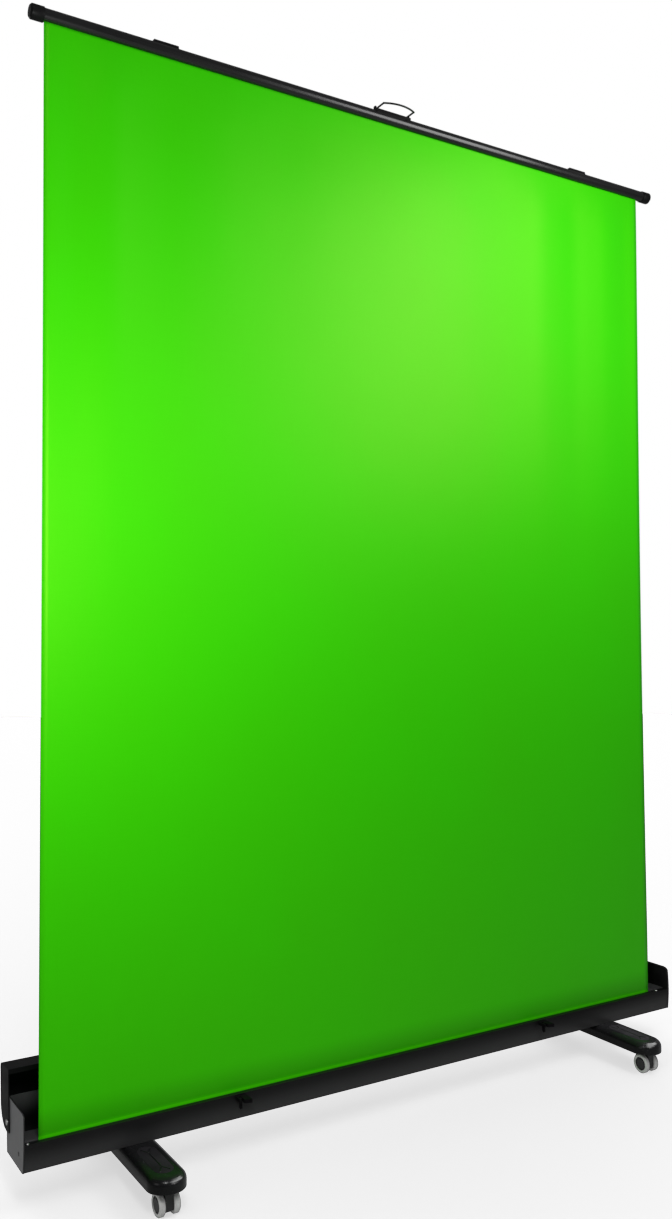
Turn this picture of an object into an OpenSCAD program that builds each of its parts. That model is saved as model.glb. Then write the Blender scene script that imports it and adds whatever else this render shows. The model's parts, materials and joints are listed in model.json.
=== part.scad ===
// Pull-up backdrop screen: green fabric rising from a floor casing on two castered feet.
// Millimetres, +Z up, X along the width, front faces -Y.
// Origin: on the floor, at the middle of the casing's length and depth.

/* [Screen fabric] */
// Width of the fabric
fabric_w = 1500; // [1000:10:2200]
// Height of fabric showing above the casing
fabric_h = 1969; // [1200:1:2200]
// Thickness of the fabric slab
fabric_t = 0.5; // [0.3:0.1:1.5]
// Fabric sits this far to the left of the casing's middle
fabric_shift = 14; // [0:1:30]

/* [Casing] */
// Overall length over the end plates
casing_len = 1588; // [1200:1:2300]
// Depth at the middle of the bulging sides
casing_d = 102; // [80:1:140]
// Height of the full section
casing_h = 97; // [80:1:140]
// Height of the front wall
front_h = 46.5; // [30:0.5:60]
// How far each side bulges
bulge = 3; // [1:0.5:6]
// Wall thickness
wall = 2; // [1.2:0.1:4]
// End plate thickness
plate_t = 3; // [2:0.5:6]

/* [Feet and casters] */
// Height of the casing's bottom above the floor
ride_h = 72; // [55:1:100]
// Width of a foot
foot_w = 70; // [60:1:110]
// Length of a foot, front to back
foot_len = 405; // [300:1:600]
// Height of a foot
foot_h = 25; // [18:1:40]
// Distance of each foot from the middle
foot_x = 583; // [400:1:700]
// Wheel diameter
wheel_d = 40; // [30:1:60]

/* [Top bar] */
// Bar diameter
bar_d = 24; // [18:1:40]
// Bar length over the end caps
bar_len = 1569; // [1200:1:2300]
// End cap diameter
cap_d = 27; // [20:1:44]
// Bar sits this far to the left of the casing's middle
bar_shift = 5.5; // [0:0.5:30]

/* [Folding arms] */
// Distance of the arm pivots from the middle
pivot_x = 531; // [400:1:650]
// Pivot to pivot length of each arm
arm_len = 1140; // [700:1:1250]
// Arm height and thickness
arm_h = 24; // [16:1:32]
arm_t = 5; // [4:0.5:9]

/* [Lid] */
// Sheet thickness of the lid
lid_t = 1.8; // [1:0.1:3]
// How far the lid stands open from closed, degrees
lid_open = 93.5; // [60:0.5:100]

/* [Output] */
// Sub-part to draw

/* [Hidden] */

$fn = 64;
eps = 0.01;
run = 0.05;                 // running fit, radial
gap = 0.5;                  // gap between moving pieces
pi = 3.14159265;

// casing levels
z_bot = ride_h;
z_front = z_bot + front_h;
z_top = z_bot + casing_h;
z_mid = z_bot + casing_h/2;
side_r = (pow(casing_h/2, 2) + pow(bulge, 2))/(2*bulge);
y_front = -casing_d/2;
y_rear = casing_d/2;
shell_len = casing_len - 2*plate_t;
ledge_d = 10.5;             // depth of the ledge on the front wall
ledge_screws = [-785, 756];
tab_len = 42;
slot_w = 5;                 // slot the fabric rises through
cover_rear = 6;             // rear edge of the roller cover
corner_r = 14;              // rounded front corner of the end plates

// fabric and roller
fabric_x = -fabric_shift;
fabric_y = y_front + ledge_d + slot_w/2;
z_fabric = z_front;
roller_d = 26;
wound_t = 0.6;
wound_d = roller_d + 2*wound_t;
roller_y = fabric_y + fabric_t/2 + 0.4 + wound_d/2;
roller_z = z_bot + wall + 21.5;
roller_len = fabric_w + 24;
roller_wall = 1.5;
plug_len = 20;
spindle_d = 8;
spring_wire = 2.6;
spring_turns = 40;
spring_r = 7.6;
spring_len = spring_turns*spring_wire;

// top bar
bar_z = z_fabric + fabric_h + bar_d/2 - 1;
bar_x = -bar_shift;
bar_wall = 1.6;
cap_len = 25;
cap_over = 12;
spline_d = 7;
bar_slot = 3;

// arms, folded behind the roller in four planes
arm_pitch = arm_t + 1;
arm_y0 = cover_rear + 3;
y_low_l = arm_y0;
y_up_l = arm_y0 + arm_pitch;
y_up_r = arm_y0 + 2*arm_pitch;
y_low_r = arm_y0 + 3*arm_pitch;
base_z = z_bot + 28;
rise = bar_z - base_z;
arm_ang = asin(rise/(2*arm_len));
pin_d = 10;
elbow_x = -pivot_x + arm_len*cos(arm_ang);
elbow_z = base_z + arm_len*sin(arm_ang);
foot_plate_l = 64;
ear_t = 2.6;

// brackets on the bar
strap_l = 50;
strap_rise = 3.5;

// handle
handle_x = -9;
handle_w = 78;
wire_d = 3.8;
handle_z = bar_z + bar_d/2 + 4.8;
handle_y = fabric_y - 1;
leg_l = 27;
bow = 10;
plate_l = 90;

// lid, drawn closed about its hinge and then turned open
hinge_y = 38.5;
hinge_z = z_front + 9;
lid_front = y_front - 2.6;
lid_rear = y_rear + 7;
lid_top = z_top + 2.4;
lid_front_z = z_front + 0.8;
lid_rear_z = hinge_z + 18.5;
cheek_t = 2;
cheek_gap = 0.5;
lid_len = casing_len + 2*(cheek_gap + cheek_t);
lid_pin_d = 6;
hem = 9;

// latches
latch_x = 380.5;
latch_z = z_front - 3;
latch_reach = 28;           // how far the blade stands out from the front wall
latch_pin_y = y_front - 10;
latch_pin_z = latch_z - 3.5;

// feet and casters
nose_r = foot_w/2;
foot_z = ride_h - foot_h;
shoulder = 14;
caster_y = foot_len/2 - nose_r - 6;
wheel_r = wheel_d/2;
wheel_w = 10.5;
wheel_x = 13.5;
trail = 8;
axle_d = 6;
stem_d = 9;
hub_r = wheel_r*0.72;

// ---------- shared shapes ----------

// casing section in the Y-Z plane, grown outwards by g
module section(g = 0) {
  intersection() {
    translate([y_front - g + side_r + g, z_mid]) circle(r = side_r + g, $fn = 360);
    translate([y_rear + g - side_r - g, z_mid]) circle(r = side_r + g, $fn = 360);
    translate([y_front - g - 1, z_bot - g]) square([casing_d + 2*g + 2, casing_h + 2*g]);
  }
}

// run a Y-Z drawing along X, centred
module along_x(len) {
  translate([-len/2, 0, 0]) rotate([90, 0, 90]) linear_extrude(len) children();
}

// round bar along X between two places
module rod_x(x0, x1, y, z, d) {
  translate([x0, y, z]) rotate([0, 90, 0]) cylinder(h = x1 - x0, d = d);
}

// round bar along Y between two places
module rod_y(x, y0, y1, z, d) {
  translate([x, y0, z]) rotate([-90, 0, 0]) cylinder(h = y1 - y0, d = d);
}

module mirror_if(flip) {
  if (flip) mirror([1, 0, 0]) children();
  else children();
}

// ---------- casing ----------

module casing() {
  color("#2a2a2b") difference() {
    along_x(shell_len) difference() {
      section(0);
      // hollow, open at the top
      intersection() {
        translate([y_front + side_r, z_mid]) circle(r = side_r - wall, $fn = 360);
        translate([y_rear - side_r, z_mid]) circle(r = side_r - wall, $fn = 360);
        translate([y_front, z_bot + wall]) square([casing_d, casing_h]);
        union() {
          translate([y_front, z_bot + wall]) square([casing_d, front_h - 2*wall]);
          translate([y_front + ledge_d, z_bot]) square([casing_d, casing_h + 10]);
          translate([y_front, z_front + eps]) square([casing_d, casing_h]);
        }
      }
      // the front stops at its ledge
      translate([y_front - 5, z_front]) square([casing_d/2, casing_h]);
    }
    // ledge screws
    for (x = ledge_screws) translate([x, y_front + 5.5, z_front - 5]) cylinder(h = 8, d = 3.4);
    // screws up through the bottom into the feet
    for (s = [-1, 1], u = [-1, 1], v = [-1, 1])
      translate([s*foot_x + u*22, v*30, z_bot - 3]) cylinder(h = wall + 6, d = 5);
  }
}

module plate_outline() {
  difference() {
    section(0.4);
    // rounded front top corner
    translate([y_front + corner_r - 1, z_top - corner_r]) difference() {
      translate([-corner_r - 10, 0]) square([corner_r + 10, corner_r + 10]);
      circle(r = corner_r, $fn = 96);
    }
  }
}

// x is drawn for the left end; the right end is its mirror image
module end_plate(right) {
  mirror_if(right) color("#6f7072") {
    difference() {
      union() {
        translate([-casing_len/2, 0, 0]) rotate([90, 0, 90]) linear_extrude(plate_t) plate_outline();
        // roller boss
        rod_x(-casing_len/2 + plate_t - eps, -casing_len/2 + plate_t + 6, roller_y, roller_z, 22);
        // tab under the ledge
        translate([-casing_len/2 + plate_t - eps, y_front + 3.2, z_front - 6])
          cube([tab_len, 6.4, 3.7]);
      }
      rod_x(-casing_len/2 - 1, -casing_len/2 + plate_t + 8, roller_y, roller_z, spindle_d + 2*run);
      rod_x(-casing_len/2 - 1, -casing_len/2 + plate_t + 1, hinge_y, hinge_z, lid_pin_d);
      for (x = ledge_screws) translate([-abs(x), y_front + 5.5, z_front - 8]) if (right == (x > 0))
        cylinder(h = 8, d = 3);
    }
  }
}
module end_plate_left() { end_plate(false); }
module end_plate_right() { end_plate(true); }

module roller_cover() {
  w = shell_len - 1;
  color("#333436") difference() {
    along_x(w) union() {
      translate([fabric_y + slot_w/2, z_front - wall]) square([cover_rear - fabric_y - slot_w/2, wall]);
      translate([fabric_y + slot_w/2, z_front - 5]) square([wall, 5]);
      translate([cover_rear - wall, z_bot + wall + 0.1]) square([wall, front_h - wall - 0.1]);
    }
    // clear of the two arm bases
    for (s = [-1, 1]) translate([s*pivot_x - 36, cover_rear - 4, z_bot]) cube([72, 8, 4.8]);
  }
}

module casing_screws() {
  color("#d9d9d6") for (x = ledge_screws) translate([x, y_front + 5.5, 0]) {
    translate([0, 0, z_front + 0.05]) cylinder(h = 1.8, d1 = 6.4, d2 = 4.6);
    translate([0, 0, z_front - 7]) cylinder(h = 7.1, d = 3);
  }
}

// ---------- roller ----------

module roller_tube() {
  color("#b4b6b8") difference() {
    rod_x(fabric_x - roller_len/2, fabric_x + roller_len/2, roller_y, roller_z, roller_d);
    rod_x(fabric_x - roller_len/2 - 1, fabric_x + roller_len/2 + 1, roller_y, roller_z,
      roller_d - 2*roller_wall);
  }
}

module wound_fabric() {
  color("#37b400") difference() {
    rod_x(fabric_x - fabric_w/2, fabric_x + fabric_w/2, roller_y, roller_z, wound_d);
    rod_x(fabric_x - fabric_w/2 - 1, fabric_x + fabric_w/2 + 1, roller_y, roller_z,
      roller_d + 0.02);
  }
}

// left plug: flange, spigot in the tube, and the stub it turns on
module roller_plug_left() {
  x = fabric_x - roller_len/2;
  color("#3b3b3d") union() {
    rod_x(x - 2, x, roller_y, roller_z, roller_d);
    rod_x(x - eps, x + plug_len, roller_y, roller_z, roller_d - 2*roller_wall);
    rod_x(-casing_len/2 + 0.5, x - 2 + eps, roller_y, roller_z, spindle_d);
  }
}

module roller_plug_right() {
  x = fabric_x + roller_len/2;
  color("#3b3b3d") difference() {
    union() {
      rod_x(x, x + 2, roller_y, roller_z, roller_d);
      rod_x(x - plug_len, x + eps, roller_y, roller_z, roller_d - 2*roller_wall);
    }
    rod_x(x - plug_len - 1, x + 3, roller_y, roller_z, spindle_d + 2*run);
  }
}

module roller_spindle() {
  x = fabric_x + roller_len/2;
  color("#9a9c9f") rod_x(x - plug_len - spring_len - 20, casing_len/2 - 0.5, roller_y, roller_z,
    spindle_d);
}

// close-wound torsion spring between the spindle and the tube, its coils touching
module roller_spring() {
  x = fabric_x + roller_len/2 - plug_len - spring_turns*spring_wire - 4;
  color("#8d8f92") translate([x, roller_y, roller_z]) rotate([0, 90, 0])
    rotate_extrude() for (i = [0:spring_turns - 1])
      translate([spring_r, (i + 0.5)*spring_wire]) circle(d = spring_wire*1.06, $fn = 16);
}

// ---------- fabric ----------

module screen_fabric() {
  z0 = roller_z + 4;
  z1 = bar_z - spline_d/2 - 0.6;
  color("#3fd000") translate([fabric_x - fabric_w/2, fabric_y - fabric_t/2, z0])
    cube([fabric_w, fabric_t, z1 - z0]);
}

// ---------- top bar ----------

module top_bar() {
  half = bar_len/2 - cap_len + cap_over;
  color("#1d1d1e") difference() {
    rod_x(bar_x - half, bar_x + half, fabric_y, bar_z, bar_d);
    rod_x(bar_x - half - 1, bar_x + half + 1, fabric_y, bar_z, bar_d - 2*bar_wall);
    // slot for the top of the fabric
    translate([bar_x - half - 1, fabric_y - bar_slot/2, bar_z - bar_d])
      cube([2*half + 2, bar_slot, bar_d]);
  }
}

module bar_cap(right) {
  x0 = bar_x + (right ? bar_len/2 - cap_len : -bar_len/2);
  half = bar_len/2 - cap_len + cap_over;
  tip = right ? bar_x + bar_len/2 : bar_x - bar_len/2;
  in = right ? -1 : 1;
  color("#18181a") difference() {
    union() {
      rod_x(x0 + (right ? 0 : 3), x0 + cap_len - (right ? 3 : 0), fabric_y, bar_z, cap_d);
      translate([tip + in*3, fabric_y, bar_z]) rotate([0, -in*90, 0])
        cylinder(h = 3, d1 = cap_d, d2 = cap_d - 6);
    }
    // socket for the bar
    rod_x(right ? x0 - 1 : bar_x - half - 0.2, right ? bar_x + half + 0.2 : x0 + cap_len + 1,
      fabric_y, bar_z, bar_d + 0.02);
  }
}
module bar_cap_left() { bar_cap(false); }
module bar_cap_right() { bar_cap(true); }

module fabric_spline() {
  color("#c9cbc8") rod_x(fabric_x - fabric_w/2, fabric_x + fabric_w/2, fabric_y, bar_z, spline_d);
}

// strap over the bar with an ear reaching back to the upper arm
module bar_bracket(s, y_arm, front) {
  y_ear = front ? y_arm - gap - 3 : y_arm + arm_t + gap;
  color("#19191a") difference() {
    union() {
      translate([s*pivot_x, 0, 0]) rotate([90, 0, 90])
        translate([0, 0, -strap_l/2]) linear_extrude(strap_l)
          polygon([[fabric_y - 9, bar_z + 6], [fabric_y - 6, bar_z + bar_d/2 + strap_rise],
            [fabric_y + 9, bar_z + bar_d/2 + strap_rise], [fabric_y + 17, bar_z + 4],
            [fabric_y + 17, bar_z - 8], [fabric_y + 6, bar_z - 8]]);
      // arm reaching back
      translate([s*pivot_x - 12, fabric_y + 15, bar_z - 8])
        cube([24, y_ear - fabric_y - 15 + 3, 10]);
      rod_y(s*pivot_x, y_ear, y_ear + 3, bar_z, 20);
    }
    rod_x(s*pivot_x - strap_l, s*pivot_x + strap_l, fabric_y, bar_z, bar_d + 0.02);
    rod_y(s*pivot_x, y_ear - 1, y_ear + 4, bar_z, pin_d);
    if (!front) translate([s*pivot_x - 15, y_arm - gap - 0.5, bar_z - 16])
      cube([30, arm_t + 2*gap + 0.5, 32]);
  }
}
module bar_bracket_left() { bar_bracket(-1, y_up_l, true); }
module bar_bracket_right() { bar_bracket(1, y_up_r, true); }

module bar_pivot_pins() {
  color("#a5a7aa") for (p = [[-1, y_up_l], [1, y_up_r]]) {
    rod_y(p[0]*pivot_x, p[1] - gap - 3, p[1] + arm_t + 0.7, bar_z, pin_d);
    rod_y(p[0]*pivot_x, p[1] - gap - 5, p[1] - gap - 3 + eps, bar_z, 15);
  }
}

// ---------- handle ----------

module handle_plate() {
  zb = bar_z + bar_d/2;
  color("#1b1b1c") difference() {
    union() {
      translate([handle_x - plate_l/2, fabric_y - 9, zb - 5]) cube([plate_l, 18, 7]);
      for (s = [-1, 1]) translate([handle_x + s*(handle_w/2 + 4.1) - 1.6, handle_y - 3.5, zb])
        cube([3.2, 7, handle_z - zb + 3.5]);
    }
    rod_x(handle_x - plate_l, handle_x + plate_l, fabric_y, bar_z, bar_d + 0.02);
    rod_x(handle_x - plate_l, handle_x + plate_l, handle_y, handle_z, wire_d + 2*run);
  }
}

module handle_bail() {
  bow_r = (pow(handle_w/2, 2) + pow(bow, 2))/(2*bow);
  color("#161617") union() {
    for (s = [-1, 1]) {
      x = handle_x + s*handle_w/2;
      rod_x(s < 0 ? x - 6 : x, s < 0 ? x : x + 6, handle_y, handle_z, wire_d);
      translate([x, handle_y, handle_z]) sphere(d = wire_d + 0.5);
      rod_y(x, handle_y - leg_l, handle_y, handle_z, wire_d);
      translate([x, handle_y - leg_l, handle_z]) sphere(d = wire_d + 0.5);
    }
    // bowed front, the piece of a large ring in front of the corners
    intersection() {
      translate([handle_x, handle_y - leg_l - bow + bow_r, handle_z])
        rotate_extrude($fn = 360) translate([bow_r, 0]) circle(d = wire_d, $fn = 24);
      translate([handle_x - handle_w/2, handle_y - leg_l - bow - wire_d, handle_z - wire_d])
        cube([handle_w, bow + wire_d + 1.2, 2*wire_d]);
    }
  }
}

// ---------- folding arms ----------

// flat bar from one pivot to the next, at angle ang in the X-Z plane
module arm(x, z, ang, y, hole_a, hole_b) {
  color("#3a3b3e") translate([x, y, z]) rotate([0, -ang, 0]) difference() {
    union() {
      translate([0, 0, -arm_h/2]) cube([arm_len, arm_t, arm_h]);
      for (e = [0, arm_len]) translate([e, 0, 0]) rotate([-90, 0, 0]) cylinder(h = arm_t, d = arm_h);
    }
    translate([0, -1, 0]) rotate([-90, 0, 0]) cylinder(h = arm_t + 2, d = hole_a);
    translate([arm_len, -1, 0]) rotate([-90, 0, 0]) cylinder(h = arm_t + 2, d = hole_b);
  }
}
free_d = pin_d + 2*run;
loose_d = pin_d + 1;
module lower_arm_left() { arm(-pivot_x, base_z, arm_ang, y_low_l, free_d, pin_d); }
module lower_arm_right() { arm(pivot_x, base_z, 180 - arm_ang, y_low_r, free_d, pin_d); }
module upper_arm_left() { arm(elbow_x, elbow_z, 180 - arm_ang, y_up_l, free_d, free_d); }
module upper_arm_right() { arm(-elbow_x, elbow_z, arm_ang, y_up_r, free_d, loose_d); }

module elbow_pin_left() {
  color("#a5a7aa") union() {
    rod_y(elbow_x, y_low_l - 1.6, y_low_l + eps, elbow_z, 15);
    rod_y(elbow_x, y_low_l, y_up_l + arm_t + 0.3, elbow_z, pin_d);
  }
}
module elbow_pin_right() {
  color("#a5a7aa") union() {
    rod_y(-elbow_x, y_up_r - 0.3, y_low_r + arm_t, elbow_z, pin_d);
    rod_y(-elbow_x, y_low_r + arm_t - eps, y_low_r + arm_t + 1.6, elbow_z, 15);
  }
}

// angle plate on the casing floor
module arm_base(s, y0, y_in) {
  zf = z_bot + wall + 0.1;
  color("#2f3032") difference() {
    union() {
      translate([s*pivot_x - foot_plate_l/2, y0, zf]) cube([foot_plate_l, ear_t, base_z - zf]);
      rod_y(s*pivot_x, y0, y0 + ear_t, base_z, 26);
      translate([s*pivot_x - foot_plate_l/2, min(y0, y_in), zf])
        cube([foot_plate_l, abs(y_in - y0) + ear_t*(y_in < y0 ? 1 : 0), ear_t]);
    }
    rod_y(s*pivot_x, y0 - 1, y0 + ear_t + 1, base_z, pin_d);
  }
}
module arm_base_left() { arm_base(-1, y_low_l - ear_t - 0.3, y_low_l + 22); }
module arm_base_right() { arm_base(1, y_low_r + arm_t + 0.3, y_low_r - 16); }

module base_pivot_pins() {
  color("#a5a7aa") union() {
    rod_y(-pivot_x, y_low_l - ear_t - 0.3, y_low_l + arm_t + 0.3, base_z, pin_d);
    rod_y(pivot_x, y_low_r - 0.3, y_low_r + arm_t + ear_t + 0.3, base_z, pin_d);
  }
}

// ---------- lid ----------

module lid_outline(g) {
  r1 = 7;
  r2 = 44;
  x0 = lid_front + g;
  x1 = lid_rear - g;
  zt = lid_top - g;
  difference() {
    translate([x0, z_bot + 20]) square([x1 - x0, zt - z_bot - 20]);
    translate([x0 + r1 - g, zt - r1 + g]) difference() {
      translate([-r1 - 5, 0]) square([r1 + 5, r1 + 5]);
      circle(r = r1 - g, $fn = 96);
    }
    translate([x1 - r2 + g, zt - r2 + g]) difference() {
      square([r2 + 5, r2 + 5]);
      circle(r = r2 - g, $fn = 96);
    }
  }
}

module lid_pose() {
  translate([0, hinge_y, hinge_z]) rotate([-lid_open, 0, 0]) translate([0, -hinge_y, -hinge_z])
    children();
}

module lid_panel() {
  color("#1c1c1d") lid_pose() along_x(lid_len) difference() {
    union() {
      difference() {
        lid_outline(0);
        lid_outline(lid_t);
      }
      // hem turned in along the front edge
      translate([lid_front, lid_front_z]) square([hem, lid_t]);
    }
    translate([lid_front - 5, 0]) square([casing_d/2, lid_front_z]);
    translate([-5, 0]) square([casing_d, lid_rear_z]);
  }
}

module lid_cheek(right) {
  color("#1c1c1d") lid_pose() mirror_if(right) difference() {
    translate([-lid_len/2, 0, 0]) rotate([90, 0, 90]) linear_extrude(cheek_t) union() {
      intersection() {
        lid_outline(lid_t + 0.05);
        union() {
          translate([lid_front, lid_front_z + lid_t + 0.05]) square([casing_d + 20, casing_h]);
          translate([hinge_y - 7, hinge_z - 4]) square([14, 20]);
        }
      }
      translate([hinge_y, hinge_z]) circle(d = 14);
    }
    rod_x(-lid_len/2 - 1, -lid_len/2 + cheek_t + 1, hinge_y, hinge_z, lid_pin_d + 2*run);
  }
}
module lid_cheek_left() { lid_cheek(false); }
module lid_cheek_right() { lid_cheek(true); }

module lid_pins() {
  color("#a5a7aa") for (s = [0, 1]) mirror_if(s == 1) union() {
    rod_x(-lid_len/2 - 0.4, -casing_len/2 + plate_t, hinge_y, hinge_z, lid_pin_d);
    rod_x(-lid_len/2 - 2.2, -lid_len/2 - 0.4 + eps, hinge_y, hinge_z, 10);
  }
}

// ---------- latches ----------

// flat blade standing out from the front wall, slotted for the lever
module latch_base(s) {
  color("#141415") difference() {
    translate([s*latch_x, 0, latch_z - 7]) linear_extrude(7)
      polygon([[-12.5, y_front + 0.6], [9, y_front + 0.6], [9, y_front - latch_reach],
        [-12.5, y_front - latch_reach + 8]]);
    rod_x(s*latch_x - 13.5, s*latch_x - 2.5, latch_pin_y, latch_pin_z, 2.4);
    translate([s*latch_x - 9.8, y_front - latch_reach - 12, latch_z - 20])
      cube([5.1, latch_reach + 6.5, 24]);
    along_x(casing_len) intersection() {
      section(0.05);
      translate([y_front - 10, z_bot]) square([casing_d, casing_h]);
    }
  }
}
module latch_base_left() { latch_base(-1); }
module latch_base_right() { latch_base(1); }

// leg hanging from a pin across the blade's slot
module latch_lever(s) {
  y = latch_pin_y;
  z = latch_pin_z;
  color("#101011") union() {
    rod_x(s*latch_x - 11.6, s*latch_x - 3.2, y, z, 2.3);
    rod_x(s*latch_x - 9.5, s*latch_x - 5, y, z, 6);
    translate([s*latch_x - 9.5, 0, 0]) rotate([90, 0, 90]) linear_extrude(4.5)
      polygon([[y - 3, z], [y + 2.4, z], [y + 1, z - 14], [y - 2.5, z - 17], [y - 4.5, z - 16]]);
  }
}
module latch_lever_left() { latch_lever(-1); }
module latch_lever_right() { latch_lever(1); }

// ---------- feet ----------

// half outline of the nose, spun round the nose centre
module nose(r, top, r_sh) {
  rotate_extrude($fn = 72) intersection() {
    union() {
      square([r - r_sh, top]);
      square([r, top - r_sh]);
      translate([r - r_sh, top - r_sh]) circle(r = r_sh, $fn = 32);
      translate([0, 0]) square([r - 2, 3]);
    }
    translate([0, 0]) square([r, top]);
  }
}

module foot(s) {
  run_y = foot_len/2 - nose_r;
  color("#101011") translate([s*foot_x, 0, foot_z]) difference() {
    hull() for (v = [-1, 1]) translate([0, v*run_y, 0]) nose(nose_r, foot_h - 0.3, shoulder);
    // caster stems
    for (v = [-1, 1]) translate([0, v*caster_y, -1]) cylinder(h = 19, d = stem_d + 2*run);
    // shallow panels in the top, in front of and behind the casing
    for (v = [-1, 1]) translate([0, v*(caster_y - 42), foot_h - 1.5]) panel_cut();
  }
}

// rounded recess with a raised rib down its middle
module panel_cut() {
  difference() {
    union() {
      translate([-18, -38, 0]) cube([36, 76, 3]);
      for (v = [-1, 1]) translate([0, v*38, 0]) cylinder(h = 3, r = 18, $fn = 48);
    }
    translate([-2.5, -40, -1]) cube([5, 80, 5]);
  }
}
module foot_left() { foot(-1); }
module foot_right() { foot(1); }

// ---------- casters ----------

module caster(s, v) {
  color("#151516") translate([s*foot_x, v*caster_y, 0]) difference() {
    union() {
      // stem, top plate and neck
      translate([0, 0, foot_z - 2.6]) cylinder(h = 18, d = stem_d);
      translate([0, 0, foot_z - 3.4]) cylinder(h = 2.8, d = 30);
      intersection() {
        translate([-7.9, v < 0 ? -15 - trail : -15, wheel_r - 9])
          cube([15.8, 30 + trail, foot_z - wheel_r + 7]);
        translate([-20, v*trail, wheel_r]) rotate([0, 90, 0]) cylinder(h = 40, r = wheel_r + 5);
      }
      translate([-7.9, v*trail, wheel_r]) rotate([0, 90, 0]) cylinder(h = 15.8, d = 18);
      // axle
      translate([-wheel_x - wheel_w/2 + 1, v*trail, wheel_r]) rotate([0, 90, 0])
        cylinder(h = 2*wheel_x + wheel_w - 2, d = axle_d);
    }
    // hollow seen between the wheels
    translate([-20, v*trail + 11*v, wheel_r + 4]) rotate([0, 90, 0]) cylinder(h = 40, d = 5);
  }
}
module caster_front_left() { caster(-1, -1); }
module caster_front_right() { caster(1, -1); }
module caster_rear_left() { caster(-1, 1); }
module caster_rear_right() { caster(1, 1); }

// wheels 1-4 at the front, 5-8 at the back, counted from the left
function wheel_side(i) = i % 4 < 2 ? -1 : 1;
function wheel_end(i) = i < 4 ? -1 : 1;
function wheel_off(i) = i % 2 == 0 ? -1 : 1;

module at_wheel(i) {
  translate([wheel_side(i)*foot_x + wheel_off(i)*wheel_x, wheel_end(i)*(caster_y + trail), wheel_r])
    rotate([0, wheel_off(i)*90, 0]) children();
}

module hub(i) {
  color("#2b2b2d") at_wheel(i) difference() {
    union() {
      translate([0, 0, -wheel_w/2]) cylinder(h = wheel_w - 1, r = hub_r - 0.02);
      translate([0, 0, wheel_w/2 - 1.2]) cylinder(h = 1.2, r1 = hub_r - 3, r2 = hub_r - 4);
    }
    translate([0, 0, -wheel_w]) cylinder(h = 1.5*wheel_w - 0.6, d = axle_d + 2*run);
    // ring groove in the outer face
    translate([0, 0, wheel_w/2 - 2.2]) difference() {
      cylinder(h = 3, r = hub_r - 1.2);
      translate([0, 0, -1]) cylinder(h = 5, r = hub_r - 3.2);
    }
  }
}

module tyre(i) {
  color("#c4c5c3") at_wheel(i) rotate_extrude($fn = 96) difference() {
    translate([hub_r, -wheel_w/2]) square([wheel_r - hub_r, wheel_w]);
    for (v = [-1, 1]) translate([wheel_r, v*wheel_w/2]) rotate(45) square(2.6, center = true);
  }
}

module wheel_1() { hub(0); }
module wheel_2() { hub(1); }
module wheel_3() { hub(2); }
module wheel_4() { hub(3); }
module wheel_5() { hub(4); }
module wheel_6() { hub(5); }
module wheel_7() { hub(6); }
module wheel_8() { hub(7); }
module tyre_1() { tyre(0); }
module tyre_2() { tyre(1); }
module tyre_3() { tyre(2); }
module tyre_4() { tyre(3); }
module tyre_5() { tyre(4); }
module tyre_6() { tyre(5); }
module tyre_7() { tyre(6); }
module tyre_8() { tyre(7); }

// ---------- drawing ----------

casing();
end_plate_left();
end_plate_right();
roller_cover();
casing_screws();
roller_tube();
wound_fabric();
roller_plug_left();
roller_plug_right();
roller_spindle();
roller_spring();
screen_fabric();
top_bar();
bar_cap_left();
bar_cap_right();
fabric_spline();
bar_bracket_left();
bar_bracket_right();
bar_pivot_pins();
handle_plate();
handle_bail();
lower_arm_left();
lower_arm_right();
upper_arm_left();
upper_arm_right();
elbow_pin_left();
elbow_pin_right();
arm_base_left();
arm_base_right();
base_pivot_pins();
lid_panel();
lid_cheek_left();
lid_cheek_right();
lid_pins();
latch_base_left();
latch_base_right();
latch_lever_left();
latch_lever_right();
foot_left();
foot_right();
caster_front_left();
caster_front_right();
caster_rear_left();
caster_rear_right();
wheel_1();
wheel_2();
wheel_3();
wheel_4();
wheel_5();
wheel_6();
wheel_7();
wheel_8();
tyre_1();
tyre_2();
tyre_3();
tyre_4();
tyre_5();
tyre_6();
tyre_7();
tyre_8();
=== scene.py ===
import json
import math

import bmesh
import bpy
from mathutils import Matrix, Vector

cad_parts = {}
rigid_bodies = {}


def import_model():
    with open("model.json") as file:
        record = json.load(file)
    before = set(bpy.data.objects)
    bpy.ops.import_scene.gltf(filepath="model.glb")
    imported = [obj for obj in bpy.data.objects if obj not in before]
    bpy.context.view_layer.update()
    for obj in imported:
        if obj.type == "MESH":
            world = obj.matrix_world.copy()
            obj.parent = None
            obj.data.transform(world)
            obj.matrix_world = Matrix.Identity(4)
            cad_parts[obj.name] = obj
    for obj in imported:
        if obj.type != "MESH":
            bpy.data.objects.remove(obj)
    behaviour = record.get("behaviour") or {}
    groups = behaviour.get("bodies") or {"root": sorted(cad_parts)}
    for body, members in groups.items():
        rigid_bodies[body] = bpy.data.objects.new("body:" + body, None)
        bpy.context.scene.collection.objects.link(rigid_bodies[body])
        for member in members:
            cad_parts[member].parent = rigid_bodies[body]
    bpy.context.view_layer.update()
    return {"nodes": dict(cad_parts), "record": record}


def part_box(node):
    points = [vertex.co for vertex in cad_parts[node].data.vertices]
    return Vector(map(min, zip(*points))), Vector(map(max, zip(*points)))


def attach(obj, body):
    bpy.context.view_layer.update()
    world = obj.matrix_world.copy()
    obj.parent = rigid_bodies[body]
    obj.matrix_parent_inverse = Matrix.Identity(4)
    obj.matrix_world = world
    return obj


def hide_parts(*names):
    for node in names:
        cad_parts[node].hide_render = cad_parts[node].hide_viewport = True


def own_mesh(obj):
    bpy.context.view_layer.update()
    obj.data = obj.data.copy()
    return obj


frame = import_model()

MM = 0.001
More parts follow.
